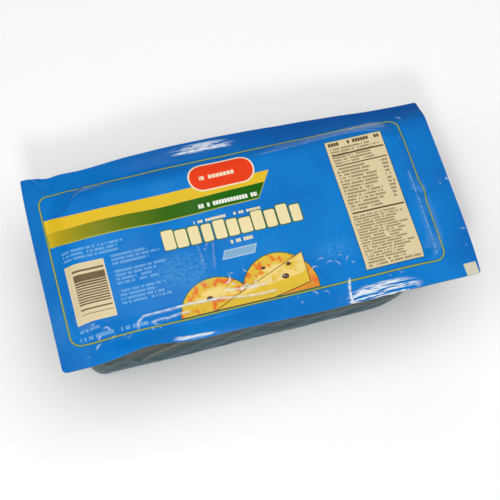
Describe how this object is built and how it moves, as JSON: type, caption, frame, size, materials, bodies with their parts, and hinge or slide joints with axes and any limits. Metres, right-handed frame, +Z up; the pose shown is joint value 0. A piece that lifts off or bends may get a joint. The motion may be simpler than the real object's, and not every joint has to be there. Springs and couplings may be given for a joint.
{
  "type": "vacuum-packed mozzarella loaf",
  "caption": "Oblong mozzarella loaf in a formed, dark tinted film pouch under a printed blue film lid, with a flat sealed rim; lies on its foot, print up.",
  "frame": {"origin": "middle of the pack's outline, on the surface that the loaf rests on", "axes": "+X along the pack's length, +Y across it towards the far long side of the print, +Z up out of the printed face"},
  "size_m": [0.3382, 0.1686, 0.0756],
  "materials": {
    "printed_film": "glossy printed film",
    "pouch_film": "glossy tinted film drawn tight over cheese"
  },
  "bodies": {
    "root": {"lid_film": "printed_film", "base_pouch": "pouch_film"}
  },
  "joints": []
}
